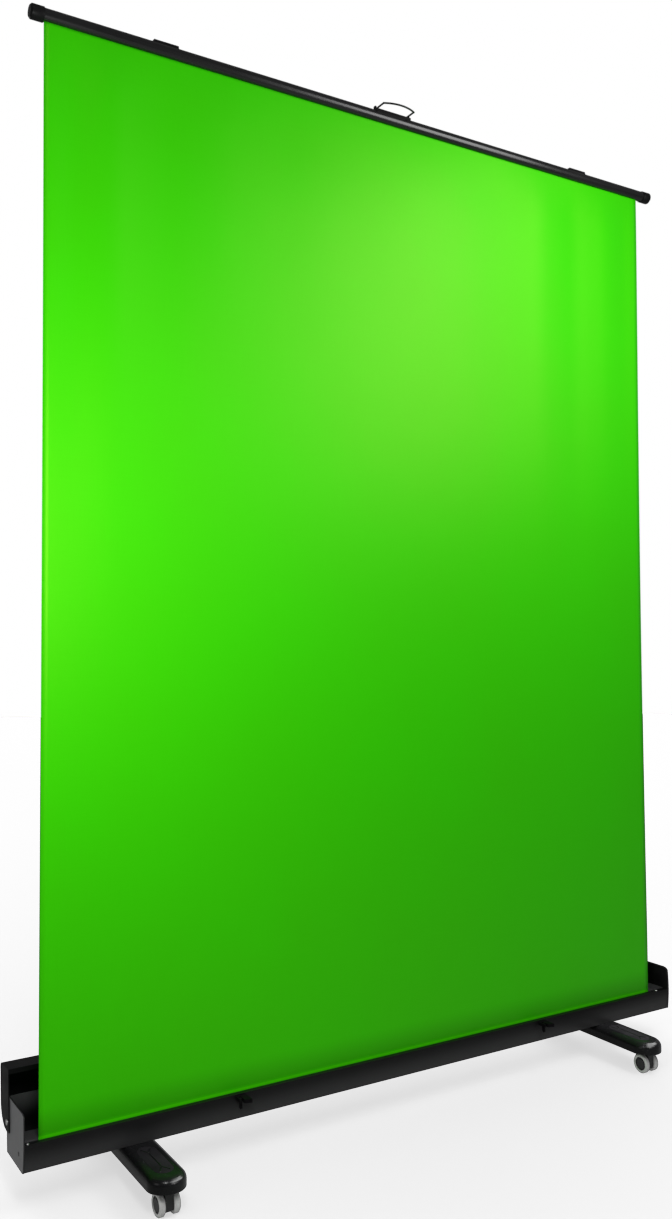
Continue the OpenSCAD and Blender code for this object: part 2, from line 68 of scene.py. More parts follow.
NODES = frame["nodes"]
SLOT_OF = {p["node"]: p["material_slot"] for p in frame["record"]["subparts"]}
JOINTS = {j["name"]: j for j in frame["record"]["behaviour"]["joints"]}
BODY_OF = {n: b for b, ns in frame["record"]["behaviour"]["bodies"].items() for n in ns}


# ---------------------------------------------------------------- camera

CAM_AT = (-1.3149, -1.9218, 0.9606)
YAW, PITCH, ROLL = math.radians(31.599), math.radians(2.099), math.radians(-0.301)
SENSOR = 36.0
FRAME_PX = 1219
FOCAL_PX = 1079.56          # at a frame FRAME_PX tall


def make_camera():
    cam = bpy.data.cameras.new("camera")
    ob = bpy.data.objects.new("camera", cam)
    bpy.context.scene.collection.objects.link(ob)
    fwd = Vector((math.sin(YAW) * math.cos(PITCH), math.cos(YAW) * math.cos(PITCH), math.sin(PITCH)))
    right0 = Vector((math.cos(YAW), -math.sin(YAW), 0))
    up0 = right0.cross(fwd)
    c, s = math.cos(ROLL), math.sin(ROLL)
    right, up = c * right0 + s * up0, -s * right0 + c * up0
    m = Matrix((right, up, -fwd)).transposed().to_4x4()
    m.translation = Vector(CAM_AT)
    ob.matrix_world = m
    cam.sensor_width = SENSOR
    cam.lens = SENSOR * FOCAL_PX / FRAME_PX
    cam.clip_start, cam.clip_end = 0.05, 60
    bpy.context.scene.camera = ob


# ---------------------------------------------------------------- node helpers

class Shader:
    """A Principled material and short calls for the nodes that feed it."""

    def __init__(self, name, coords="Object", **sockets):
        self.mat = bpy.data.materials.new(name)
        self.mat.use_nodes = True
        self.nt = self.mat.node_tree
        self.bsdf = self.nt.nodes["Principled BSDF"]
        self.co = self.nt.nodes.new("ShaderNodeTexCoord").outputs[coords]
        for key, value in sockets.items():
            self.bsdf.inputs[key.replace("_", " ")].default_value = value

    def node(self, kind, **props):
        n = self.nt.nodes.new("ShaderNode" + kind)
        for key, value in props.items():
            setattr(n, key, value)
        return n

    def link(self, a, b):
        self.nt.links.new(a, b)

    def stretch(self, scale):
        n = self.node("Mapping")
        n.inputs["Scale"].default_value = scale
        self.link(self.co, n.inputs["Vector"])
        return n.outputs[0]

    def noise(self, scale, stretch=(1, 1, 1), detail=3.0, rough=0.55, warp=0.0):
        n = self.node("TexNoise")
        n.inputs["Scale"].default_value = scale
        n.inputs["Detail"].default_value = detail
        n.inputs["Roughness"].default_value = rough
        n.inputs["Distortion"].default_value = warp
        self.link(self.stretch(stretch), n.inputs["Vector"])
        return n.outputs["Fac"]

    def spots(self, scale):
        n = self.node("TexVoronoi", feature="F1")
        n.inputs["Scale"].default_value = scale
        self.link(self.stretch((1, 1, 1)), n.inputs["Vector"])
        return n.outputs["Distance"]

    def wave(self, scale, axis, warp=0.0):
        n = self.node("TexWave", wave_type="BANDS", bands_direction=axis, wave_profile="SIN")
        n.inputs["Scale"].default_value = scale
        n.inputs["Distortion"].default_value = warp
        self.link(self.co, n.inputs["Vector"])
        return n.outputs["Fac"]

    def span(self, value, lo, hi, out_lo, out_hi, smooth=False):
        n = self.node("MapRange", clamp=True)
        if smooth:
            n.interpolation_type = "SMOOTHSTEP"
        for i, v in enumerate((lo, hi, out_lo, out_hi)):
            n.inputs[i + 1].default_value = v
        self.link(value, n.inputs[0])
        return n.outputs[0]

    def math(self, op, a, b):
        n = self.node("Math", operation=op)
        for i, v in enumerate((a, b)):
            if isinstance(v, (int, float)):
                n.inputs[i].default_value = v
            else:
                self.link(v, n.inputs[i])
        return n.outputs[0]

    def blend(self, fac, a, b):
        n = self.node("Mix", data_type="RGBA")
        self.link(fac, n.inputs["Factor"])
        for key, v in (("A", a), ("B", b)):
            sock = [s for s in n.inputs if s.name == key and s.type == "RGBA"][0]
            if isinstance(v, (tuple, list)):
                sock.default_value = (*v, 1)
            else:
                self.link(v, sock)
        return [s for s in n.outputs if s.type == "RGBA"][0]

    def axis(self, which):
        n = self.node("SeparateXYZ")
        self.link(self.co, n.inputs[0])
        return n.outputs[which]

    def colour(self, sock):
        self.link(sock, self.bsdf.inputs["Base Color"])

    def rough(self, sock):
        self.link(sock, self.bsdf.inputs["Roughness"])

    def bump(self, *layers):
        """Each layer is (height socket, strength, distance in metres)."""
        normal = None
        for height, strength, dist in layers:
            n = self.node("Bump")
            n.inputs["Strength"].default_value = strength
            n.inputs["Distance"].default_value = dist
            self.link(height, n.inputs["Height"])
            if normal is not None:
                self.link(normal, n.inputs["Normal"])
            normal = n.outputs[0]
        self.link(normal, self.bsdf.inputs["Normal"])


# ---------------------------------------------------------------- materials

def powder_coat(name, dark, light, rough=(0.42, 0.56)):
    """Satin powder coat on an extrusion: fine orange peel, faint lines along it and dust."""
    s = Shader(name)
    cloud = s.noise(9, detail=5, rough=0.6)
    fine = s.noise(1500, detail=1)
    lines = s.noise(60, (0.04, 7, 7), detail=3)
    tone = s.blend(s.span(cloud, 0.35, 0.68, 0, 1), dark, light)
    dust = s.span(s.noise(240, detail=5, rough=0.7), 0.62, 0.78, 0, 0.35)
    s.colour(s.blend(dust, tone, tuple(min(1, 2.2 * c + 0.02) for c in light)))
    r = s.span(s.math("ADD", s.math("MULTIPLY", cloud, 0.6), s.math("MULTIPLY", lines, 0.4)),
               0.35, 0.65, *rough)
    s.rough(r)
    s.bump((lines, 0.10, 0.0004), (fine, 0.22, 0.00012))
    return s.mat


def moulding(name, dark, light, rough=(0.38, 0.55), grain=900, ior=1.5):
    """Injection-moulded plastic with a spark-eroded grain and a few pale scuffs."""
    s = Shader(name)
    s.bsdf.inputs["IOR"].default_value = ior
    cloud = s.noise(22, detail=4)
    scuff = s.span(s.noise(70, (1, 5, 1), detail=6, rough=0.7, warp=0.6), 0.64, 0.74, 0, 0.5)
    s.colour(s.blend(scuff, s.blend(s.span(cloud, 0.3, 0.7, 0, 1), dark, light),
                     tuple(min(1, 3 * c + 0.02) for c in light)))
    s.rough(s.span(cloud, 0.3, 0.7, *rough))
    s.bump((s.spots(grain), 0.18, 0.00018), (cloud, 0.06, 0.0008))
    return s.mat


def gloss_plastic(name, dark, light, ior=1.46, rough=(0.26, 0.40)):
    """High-gloss black moulding: low roughness, long soft ripple, hairline scratches and specks of dust."""
    s = Shader(name)
    s.bsdf.inputs["IOR"].default_value = ior
    cloud = s.noise(14, detail=4)
    scratch = s.noise(90, (1, 14, 3), detail=4, rough=0.65, warp=1.2)
    speck = s.span(s.noise(700, detail=2), 0.70, 0.78, 0, 0.6)
    s.colour(s.blend(speck, s.blend(s.span(cloud, 0.3, 0.7, 0, 1), dark, light), (0.16, 0.16, 0.165)))
    s.rough(s.span(scratch, 0.45, 0.75, *rough))
    s.bump((cloud, 0.12, 0.0010), (scratch, 0.05, 0.0002))
    return s.mat


def bare_metal(name, base, rough, along=(1, 1, 1), scale=220):
    """Plated or drawn metal with lines along it and duller patches."""
    s = Shader(name, Metallic=1.0)
    lines = s.noise(scale, along, detail=4, rough=0.6)
    cloud = s.noise(40, detail=4)
    s.colour(s.blend(s.span(cloud, 0.35, 0.7, 0, 1), base, tuple(0.72 * c for c in base)))
    s.rough(s.span(s.math("ADD", s.math("MULTIPLY", lines, 0.5), s.math("MULTIPLY", cloud, 0.5)),
                   0.3, 0.7, *rough))
    s.bump((lines, 0.12, 0.0002))
    return s.mat


def anodised_bar(name, dark, light):
    """Black anodised tube: a fine brush along X, with a long soft highlight."""
    s = Shader(name)
    s.bsdf.inputs["IOR"].default_value = 1.55
    lines = s.noise(150, (0.02, 6, 6), detail=5, rough=0.6)
    cloud = s.noise(7, detail=4)
    s.colour(s.blend(s.span(cloud, 0.35, 0.65, 0, 1), dark, light))
    s.rough(s.span(s.math("ADD", s.math("MULTIPLY", lines, 0.55), s.math("MULTIPLY", cloud, 0.45)),
                   0.3, 0.7, 0.22, 0.32))
    s.bump((lines, 0.10, 0.0002))
    return s.mat


def arm_metal(name):
    """Dark anodised flat bar: brushed, with rub marks where the arms pass each other."""
    s = Shader(name)
    s.bsdf.inputs["IOR"].default_value = 1.7
    lines = s.noise(130, (0.08, 4, 5), detail=5, rough=0.65)
    rub = s.span(s.noise(16, (1, 1, 2.5), detail=6, rough=0.7, warp=0.4), 0.60, 0.74, 0, 0.5)
    s.colour(s.blend(rub, s.blend(s.span(lines, 0.3, 0.7, 0, 1), (0.036, 0.037, 0.040),
                                  (0.062, 0.063, 0.067)), (0.15, 0.15, 0.155)))
    s.rough(s.span(lines, 0.3, 0.7, 0.34, 0.5))
    s.bump((lines, 0.16, 0.0002))
    return s.mat


def rubber(name):
    """Pale polyurethane tyre: matt, with patches of grime and a fine grain."""
    s = Shader(name)
    grime = s.noise(120, detail=6, rough=0.7)
    cloud = s.noise(30, detail=3)
    tone = s.blend(s.span(cloud, 0.3, 0.7, 0, 1), (0.70, 0.70, 0.69), (0.80, 0.80, 0.79))
    s.colour(s.blend(s.span(grime, 0.52, 0.72, 0, 0.65), tone, (0.40, 0.395, 0.38)))
    s.rough(s.span(grime, 0.3, 0.7, 0.42, 0.66))
    s.bump((s.noise(1400, detail=2), 0.2, 0.0001))
    return s.mat


def green_cloth(name):
    """Woven polyester, laid out in metres on the sheet's own map: weave, slubs and a slow drift of tone."""
    s = Shader(name, coords="UV")
    s.bsdf.inputs["Specular Tint"].default_value = (0.90, 1.0, 0.12, 1)
    s.bsdf.inputs["IOR"].default_value = 1.5
    threads = 2000 / 3.0
    warp = s.wave(threads, "X", 0.4)
    weft = s.wave(threads, "Y", 0.4)
    slub_x = s.noise(90, (0.10, 5, 1), detail=4, rough=0.6)
    slub_z = s.noise(90, (5, 0.10, 1), detail=4, rough=0.6)
    drift = s.noise(2.6, detail=3)
    tone = s.blend(s.span(drift, 0.3, 0.7, 0, 1), (0.031, 0.625, 0.0), (0.027, 0.657, 0.0))
    yarn = s.math("MULTIPLY", s.math("ADD", slub_x, slub_z), 0.5)
    cloth = s.blend(s.span(yarn, 0.40, 0.60, 0, 0.16), tone, (0.024, 0.57, 0.0))
    # painted shade: darker in a band just above the slot, and a painted highlight: paler along the line at
    # the slot itself
    height = s.axis(1)
    painted_shade_band = s.math("MULTIPLY", s.span(height, 0.004, 0.010, 0, 0.45, True),
                  s.span(height, 0.012, 0.060, 1, 0, True))
    painted_highlight_line = s.span(height, 0.0035, 0.0055, 0.8, 0, True)
    cloth = s.blend(painted_shade_band, cloth, (0.008, 0.30, 0.0))
    s.colour(s.blend(painted_highlight_line, cloth, (0.070, 0.88, 0.0)))
    s.rough(s.span(yarn, 0.35, 0.65, 0.38, 0.46))
    s.bump((drift, 0.05, 0.004), (yarn, 0.07, 0.0006), (s.math("ADD", warp, weft), 0.16, 0.00012))
    return s.mat


def casing_coat(name):
    """Satin black powder coat, with painted light: paler towards the foot of the front wall than at its top,
    and paler towards the top of the rear wall's inside.
    """
    s = Shader(name)
    s.bsdf.inputs["IOR"].default_value = 1.30
    cloud = s.noise(9, detail=5, rough=0.6)
    lines = s.noise(60, (0.04, 7, 7), detail=3)
    tone = s.blend(s.span(cloud, 0.35, 0.68, 0, 1), (0.0040, 0.0040, 0.0042), (0.0065, 0.0065, 0.0068))
    height = s.axis(2)
    # painted reflection of the floor: the front wall is painted paler towards its foot and darker towards its
    # top
    painted_light_low = s.span(height, 0.116, 0.070, 0, 0.9, True)
    tone = s.blend(painted_light_low, tone, (0.048, 0.048, 0.049))
    # painted light: the inside of the rear wall is painted paler towards its top edge, where light falls on
    # it
    high = s.math("MULTIPLY", s.span(height, 0.122, 0.166, 0, 0.9, True),
                  s.span(height, 0.1695, 0.1700, 1, 0))
    tone = s.blend(high, tone, (0.075, 0.075, 0.077))
    dust = s.span(s.noise(240, detail=5, rough=0.7), 0.62, 0.78, 0, 0.22)
    s.colour(s.blend(dust, tone, (0.030, 0.030, 0.031)))
    s.rough(s.span(s.math("ADD", s.math("MULTIPLY", cloud, 0.6), s.math("MULTIPLY", lines, 0.4)),
                   0.35, 0.65, 0.36, 0.50))
    s.bump((lines, 0.10, 0.0004), (s.noise(1500, detail=1), 0.20, 0.00010))
    return s.mat


def end_coat(name):
    """Charcoal coat on the outer faces of the end plates, with painted shade: their inner faces are painted
    near-black.
    """
    s = Shader(name)
    cloud = s.noise(30, detail=5, rough=0.6)
    lines = s.noise(140, (1, 1, 0.06), detail=3)
    # painted shade: the inner faces, which stand in shade, get a near-black copy of the outer faces' coat
    out = s.span(s.math("ABSOLUTE", s.axis(0), 0.0), 0.7930, 0.7936, 0, 1)
    outer = s.blend(s.span(cloud, 0.35, 0.68, 0, 1), (0.150, 0.151, 0.154), (0.190, 0.191, 0.195))
    inner = s.blend(s.span(cloud, 0.35, 0.68, 0, 1), (0.004, 0.004, 0.0042), (0.008, 0.008, 0.0085))
    tone = s.blend(out, inner, outer)
    dust = s.span(s.noise(260, detail=5, rough=0.7), 0.62, 0.78, 0, 0.25)
    s.colour(s.blend(dust, tone, (0.10, 0.10, 0.102)))
    s.rough(s.span(cloud, 0.35, 0.65, 0.38, 0.52))
    s.bump((lines, 0.08, 0.0003), (s.noise(1500, detail=1), 0.20, 0.00010))
    return s.mat


def make_materials():
    m = {}
    m["casing_black"] = casing_coat("casing_black")
    m["cover_satin"] = powder_coat("cover_satin", (0.040, 0.040, 0.041), (0.060, 0.060, 0.062))
    m["lid_black"] = moulding("lid_black", (0.0030, 0.0030, 0.0032), (0.0055, 0.0055, 0.0058), (0.45, 0.60),
                              1500, ior=1.2)
    m["end_plate_grey"] = end_coat("end_plate_grey")
    m["screw_steel"] = bare_metal("screw_steel", (0.70, 0.70, 0.69), (0.22, 0.42))
    m["roller_alu"] = bare_metal("roller_alu", (0.62, 0.63, 0.64), (0.28, 0.5), (0.05, 5, 5), 120)
    m["green_fabric"] = green_cloth("green_fabric")
    m["bar_black"] = anodised_bar("bar_black", (0.003, 0.003, 0.0033), (0.0055, 0.0055, 0.006))
    m["moulding_black"] = moulding("moulding_black", (0.0040, 0.0040, 0.0042), (0.007, 0.007, 0.0074),
                                   ior=1.25)
    m["spline_white"] = moulding("spline_white", (0.55, 0.55, 0.53), (0.64, 0.64, 0.61), (0.4, 0.55))
    m["handle_wire"] = gloss_plastic("handle_wire", (0.003, 0.003, 0.0033), (0.006, 0.006, 0.0064), 1.3)
    m["arm_grey"] = arm_metal("arm_grey")
    m["foot_gloss"] = gloss_plastic("foot_gloss", (0.0022, 0.0022, 0.0024), (0.0045, 0.0045, 0.0048),
                                    1.27, (0.20, 0.30))
    m["inlay_matt"] = moulding("inlay_matt", (0.0045, 0.0040, 0.0048), (0.0085, 0.0078, 0.0090), (0.55, 0.70),
                               1500, ior=1.13)
    m["caster_black"] = moulding("caster_black", (0.014, 0.014, 0.015), (0.026, 0.026, 0.028),
                                 (0.32, 0.48), 1300)
    m["tyre_grey"] = rubber("tyre_grey")
    return m


def dress_cad(mats):
    """Give each CAD node its material, and those listed here a bevel, in mm, so that edges catch light."""
    soft_edge = {
        "casing": 0.5, "end_plate_left": 0.8, "end_plate_right": 0.8, "roller_cover": 0.5,
        "bar_cap_left": 0.8, "bar_cap_right": 0.8, "bar_bracket_left": 0.8, "bar_bracket_right": 0.8,
        "handle_plate": 1.0, "lid_panel": 0.45, "lid_cheek_left": 0.45, "lid_cheek_right": 0.45,
        "lower_arm_left": 0.7, "lower_arm_right": 0.7, "upper_arm_left": 0.7, "upper_arm_right": 0.7,
        "arm_base_left": 0.5, "arm_base_right": 0.5, "latch_base_left": 0.6, "latch_base_right": 0.6,
        "latch_lever_left": 0.6, "latch_lever_right": 0.6,
    }
    for name, ob in NODES.items():
        # the lid and the latches are duller than the other nodes of their slots
        if BODY_OF[name] == "lid":
            own = "lid_black"
        elif name.startswith("latch"):
            own = "inlay_matt"
        else:
            own = SLOT_OF[name]
        ob.data.materials.clear()
        ob.data.materials.append(mats[own])
        width = soft_edge.get(name)
        if width:
            weld = ob.modifiers.new("weld", "WELD")
            weld.merge_threshold = 1e-6
            bevel = ob.modifiers.new("bevel", "BEVEL")
            bevel.width = width * MM
            bevel.segments = 2
            bevel.limit_method = "ANGLE"
            bevel.angle_limit = math.radians(35)
            bevel.harden_normals = True


# ---------------------------------------------------------------- mesh helpers

def make_piece(name, verts, faces, slot, body, mats, flat_map=None):
    """A smooth-shaded piece that rides on a body; flat_map gives each vertex its place on the flat sheet."""
    mesh = bpy.data.meshes.new(name)
    mesh.from_pydata(verts, [], faces)
    mesh.validate()
    mesh.update()
    if flat_map is not None:
        layer = mesh.uv_layers.new(name="flat")
        for loop in mesh.loops:
            layer.data[loop.index].uv = flat_map[loop.vertex_index]
    mesh.polygons.foreach_set("use_smooth", [True] * len(mesh.polygons))
    ob = bpy.data.objects.new(name, mesh)
    bpy.context.scene.collection.objects.link(ob)
    mesh.materials.append(mats[slot])
    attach(ob, body)
    return ob


def grid_faces(rows, cols, start=0, flip=False):
    out = []
    for j in range(rows - 1):
        for i in range(cols - 1):
            a = start + j * cols + i
            q = (a, a + 1, a + cols + 1, a + cols)
            out.append(q[::-1] if flip else q)
    return out


def rim_loop(rows, cols):
    """Vertex numbers once round the edge of a grid, back to the first."""
    return ([j * cols for j in range(rows)][::-1] + list(range(cols))[1:]
            + [j * cols + cols - 1 for j in range(rows)][1:]
            + [(rows - 1) * cols + i for i in range(cols)][::-1][1:])


# ---------------------------------------------------------------- fabric

def fabric_sheet(mats):
    """The sheet from the roller to the spline in the bar, under light tension."""
    lo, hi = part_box("screen_fabric")
    wall_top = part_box("casing_screws")[0].z + 0.007     # the screws reach 7 mm below the wall's ledge
    x0, x1, z0, z1 = lo.x, hi.x, lo.z, hi.z
    y_mid = (lo.y + hi.y) / 2
    width, tall = x1 - x0, z1 - z0
    cols, rows = 121, 201
    thick = 0.00045
    folds = [  # place across the width, half width, height of the wave in mm, how far it runs down
        (0.035, 0.020, 3.9, 0.55), (0.085, 0.022, -4.5, 0.60), (0.150, 0.030, 3.0, 0.45),
        (0.235, 0.035, -2.1, 0.30), (0.330, 0.040, 1.5, 0.28), (0.560, 0.060, -1.5, 0.35),
        (0.700, 0.045, 2.4, 0.45), (0.790, 0.030, -3.6, 0.60), (0.860, 0.024, 3.9, 0.60),
        (0.925, 0.022, -3.6, 0.50), (0.972, 0.015, 2.7, 0.45)]

    def place(u, v):
        # v runs from 0 at the roller to 1 at the spline
        z = z0 + tall * v
        down = (z1 - z) / tall
        hold = min(1.0, (1 - v) / 0.05) * min(1.0, max(0.0, (z - wall_top - 0.01) / 0.25))
        y = 0.0
        for at, half, high, run in folds:
            fade = max(0.0, 1 - down / run)
            y += high * MM * math.exp(-((u - at) / half) ** 2) * fade ** 1.5
        belly = 2.2 * MM * math.sin(math.pi * min(1, max(0, (z - wall_top) / (z1 - wall_top)))) ** 1.3
        long_wave = 0.6 * MM * math.sin(5.1 * u + 1.7 * v * math.pi + 0.6)
        y = y_mid + (y + belly + long_wave) * hold
        pull = 1.6 * MM * math.sin(math.pi * v) * (2 * u - 1)
        return Vector((x0 + width * u - pull, y, z))

    us = [i / (cols - 1) for i in range(cols)]
    vs = [j / (rows - 1) for j in range(rows)]
    mid = [[place(u, v) for u in us] for v in vs]
    front, back = [], []
    for j in range(rows):
        for i in range(cols):
            a = mid[j][max(i - 1, 0)]
            b = mid[j][min(i + 1, cols - 1)]
            c = mid[max(j - 1, 0)][i]
            d = mid[min(j + 1, rows - 1)][i]
            n = (b - a).cross(d - c).normalized()
            front.append(mid[j][i] + n * thick / 2)
            back.append(mid[j][i] - n * thick / 2)
    verts = [tuple(p) for p in front + back]
    half = rows * cols
    faces = grid_faces(rows, cols) + grid_faces(rows, cols, half, True)
    rim = rim_loop(rows, cols)
    for a, b in zip(rim, rim[1:]):
        faces.append((b, a, a + half, b + half))
    flat = [(width * u, tall * v - (wall_top - z0)) for v in vs for u in us] * 2
    ob = make_piece("fabric_sheet", verts, faces, "green_fabric", "base", mats, flat_map=flat)
    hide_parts("screen_fabric")
    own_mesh(ob)


def fabric_roll(mats):
    """The last turns of the sheet, wound as a spiral on the tube, its edges a little out of line."""
    lo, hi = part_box("wound_fabric")
    tube_lo, tube_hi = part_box("roller_tube")
    x0, x1 = lo.x, hi.x
    cy, cz = (lo.y + hi.y) / 2, (lo.z + hi.z) / 2
    inner = (tube_hi.z - tube_lo.z) / 2 + 0.00004
    outer = (hi.z - lo.z) / 2
    thick = 0.00020
    turns = 1.9
    steps = 150
    # from the tube outwards, ending at the front, where the sheet leaves upwards
    end = math.pi
    ring = []
    for k in range(steps + 1):
        t = k / steps
        a = end - (1 - t) * turns * 2 * math.pi
        ring.append((a, inner + (outer - inner - thick) * t))
    across = [0.0, 0.004, 0.02, 0.2, 0.5, 0.8, 0.98, 0.996, 1.0]
    verts, flat = [], []
    for side in (0, 1):
        for i, f in enumerate(across):
            for k, (a, r) in enumerate(ring):
                wander = 0.0006 * math.sin(2.3 * a + 1) * (1 if f < 0.5 else -1)
                x = x0 + (x1 - x0) * f
                if i == 0:
                    x += 0.0006 + wander
                if i == len(across) - 1:
                    x -= 0.0006 - wander
                rr = r + thick * side
                verts.append((x, cy + rr * math.cos(a), cz + rr * math.sin(a)))
                flat.append((x - x0, -0.3 + inner * a))
    cols, rows = steps + 1, len(across)
    half = rows * cols
    faces = grid_faces(rows, cols, 0, True) + grid_faces(rows, cols, half)
    rim = rim_loop(rows, cols)
    for a, b in zip(rim, rim[1:]):
        faces.append((a, b, b + half, a + half))
    ob = make_piece("fabric_roll", verts, faces, "green_fabric", "roller", mats, flat_map=flat)
    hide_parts("wound_fabric")


# ---------------------------------------------------------------- small turned and moulded details

def turned(name, places, profile, axis, slot, body, mats):
    """Closed profile of (radius, height) points spun about an axis through each place."""
    sides = 40
    ax = Vector(axis).normalized()
    side = Vector((1, 0, 0)) if abs(ax.x) < 0.9 else Vector((0, 1, 0))
    u = ax.cross(side).normalized()
    w = ax.cross(u)
    verts, faces = [], []
    for at in places:
        start = len(verts)
        rings = []
        for r, h in profile:
            if r < 1e-7:
                rings.append([len(verts)])
                verts.append(tuple(Vector(at) + ax * h))
            else:
                ring = []
                for k in range(sides):
                    t = 2 * math.pi * k / sides
                    ring.append(len(verts))
                    verts.append(tuple(Vector(at) + ax * h + (u * math.cos(t) + w * math.sin(t)) * r))
                rings.append(ring)
        closed = list(zip(rings, rings[1:]))
        if len(rings[0]) > 1:
            closed.append((rings[-1], rings[0]))
        for a, b in closed:
            for k in range(sides):
                n = (k + 1) % sides
                if len(a) == 1 and len(b) == 1:
                    continue
                if len(a) == 1:
                    faces.append((a[0], b[n], b[k]))
                elif len(b) == 1:
                    faces.append((a[k], a[n], b[0]))
                else:
                    faces.append((a[k], a[n], b[n], b[k]))
    tidy_normals(make_piece(name, verts, faces, slot, body, mats))


def tidy_normals(ob):
    bm = bmesh.new()
    bm.from_mesh(ob.data)
    bmesh.ops.recalc_face_normals(bm, faces=bm.faces)
    bm.to_mesh(ob.data)
    bm.free()
    ob.data.set_sharp_from_angle(angle=math.radians(38))


def ribs(name, runs, width, height, slot, body, mats):
    """Rounded raised ribs; each run is (start, end) on the surface they stand on."""
    verts, faces = [], []
    section = [(-0.5, -0.02), (-0.47, 0.45), (-0.30, 0.85), (0.0, 1.0), (0.30, 0.85), (0.47, 0.45),
               (0.5, -0.02)]
    for a, b in runs:
        a, b = Vector(a), Vector(b)
        along = (b - a).normalized()
        across = along.cross(Vector((0, 0, 1))).normalized()
        cuts = [(0.0, 0.35), (0.04, 0.80), (0.10, 1.0), (0.90, 1.0), (0.96, 0.80), (1.0, 0.35)]
        start = len(verts)
        for t, k in cuts:
            c = a.lerp(b, t)
            for sx, sz in section:
                verts.append(tuple(c + across * sx * width * k + Vector((0, 0, max(sz, -0.02) * height * k))))
        n = len(section)
        for j in range(len(cuts) - 1):
            for i in range(n):
                p, q = start + j * n + i, start + j * n + (i + 1) % n
                faces.append((p, q, q + n, p + n))
        faces.append(tuple(start + i for i in range(n))[::-1])
        faces.append(tuple(start + (len(cuts) - 1) * n + i for i in range(n)))
    tidy_normals(make_piece(name, verts, faces, slot, body, mats))


def foot_inlay(name, places, mats, radius, half, height):
    """Thin plates with half-round ends along Y (straight for half each way) and softened top edges."""
    steps = 24
    verts, faces = [], []
    for at in places:
        rings = []
        for inset, z in ((0.0, 0.0), (0.0, height - 0.0003), (0.0001, height - 0.0001), (0.0004, height)):
            ring = []
            r = radius - inset
            for v in (1, -1):
                for k in range(steps + 1):
                    t = math.pi * k / steps
                    ring.append(len(verts))
                    verts.append((at[0] + v * r * math.cos(t),
                                  at[1] + v * (half + r * math.sin(t)), at[2] + z))
            rings.append(ring)
        n = len(rings[0])
        for a, b in zip(rings, rings[1:]):
            for k in range(n):
                faces.append((a[k], a[(k + 1) % n], b[(k + 1) % n], b[k]))
        faces.append(tuple(rings[0])[::-1])
        faces.append(tuple(rings[-1]))
    ob = make_piece(name, verts, faces, "moulding_black", "base", mats)
    ob.data.materials[0] = mats["inlay_matt"]
    tidy_normals(ob)


def centre(name):
    lo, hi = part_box(name)
    return (lo + hi) / 2


def joint_at(name):
    return Vector(JOINTS[name]["pos_m"])


def details(mats):
    # pan-head screws on top of each bar bracket
    head = [(0, 0.0013), (0.0012, 0.0013), (0.0022, 0.0010), (0.0027, 0.0004), (0.0028, -0.0004),
            (0.0009, -0.0004), (0, -0.0004)]
    bar_c = centre("top_bar")
    for side in ("left", "right"):
        lo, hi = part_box("bar_bracket_" + side)
        x = (lo.x + hi.x) / 2
        places = [(x + dx, bar_c.y + 0.0015, hi.z) for dx in (-0.017, 0.017)]
        turned("bracket_screws_" + side, places, head, (0, 0, 1), "screw_steel", "bar", mats)
    # washers in the elbows and domed heads on the pins
    ring = [(0.0052, -0.00038), (0.0094, -0.00038), (0.0098, 0.0), (0.0094, 0.00038), (0.0052, 0.00038)]
    dome = [(0, 0.0014), (0.0022, 0.0013), (0.0042, 0.0009), (0.0056, 0.0002), (0.0057, -0.0003),
            (0, -0.0003)]
    left, right = joint_at("elbow_left"), joint_at("elbow_right")
    gap_left = (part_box("lower_arm_left")[1].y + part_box("upper_arm_left")[0].y) / 2
    gap_right = (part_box("upper_arm_right")[1].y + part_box("lower_arm_right")[0].y) / 2
    turned("elbow_washer_left", [(left.x, gap_left, left.z)], ring, (0, 1, 0),
           "caster_black", "lower_left", mats)
    turned("elbow_washer_right", [(right.x, gap_right, right.z)], ring, (0, 1, 0),
           "caster_black", "lower_right", mats)
    turned("elbow_dome_left", [(left.x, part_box("elbow_pin_left")[0].y, left.z)], dome, (0, -1, 0),
           "screw_steel", "lower_left", mats)
    turned("elbow_dome_right", [(right.x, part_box("elbow_pin_right")[1].y, right.z)], dome, (0, 1, 0),
           "screw_steel", "lower_right", mats)
    # bumpers under the lid's front flange
    lid_lo, lid_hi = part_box("lid_panel")
    pad = [(0, -0.0030), (0.0040, -0.0030), (0.0052, -0.0022), (0.0060, 0.0002), (0, 0.0002)]
    turned("lid_pads", [(sx * 0.60, lid_lo.y + 0.022, lid_hi.z - 0.0018) for sx in (-1, 1)], pad,
           (0, 0, 1), "caster_black", "lid", mats)
    # matt inlays in the tops of the feet, with a centre rib that forks at both ends
    for side in ("left", "right"):
        lo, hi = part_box("foot_" + side)
        x, tip = (lo.x + hi.x) / 2, hi.y
        mid = tip - (hi.x - lo.x) / 2 - 0.048
        foot_inlay("foot_inlay_" + side, [(x, v * mid, hi.z - 0.0012) for v in (-1, 1)], mats,
                   radius=0.0178, half=0.038, height=0.00127)
        z = hi.z + 0.00002
        runs = []
        for v in (-1, 1):
            for w in (-1, 1):
                fork = Vector((x, v * mid + w * 0.030, z))
                runs.append((fork, Vector((x - 0.0095, v * mid + w * 0.046, z))))
                runs.append((fork, Vector((x + 0.0095, v * mid + w * 0.046, z))))
            runs.append((Vector((x, v * mid - 0.030, z)), Vector((x, v * mid + 0.030, z))))
        ribs("foot_ribs_" + side, runs, width=0.0024, height=0.0009, slot="foot_gloss", body="base",
             mats=mats)
    # domed caps over the ends of the lid's pins
    lo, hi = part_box("lid_pins")
    at = joint_at("lid_hinge")
    for side, x, d in (("left", lo.x, -1), ("right", hi.x, 1)):
        turned("lid_pin_dome_" + side, [(x, at.y, at.z)], [(r * 0.7, h * 0.7) for r, h in dome], (d, 0, 0),
               "screw_steel", "base", mats)


# ---------------------------------------------------------------- stage

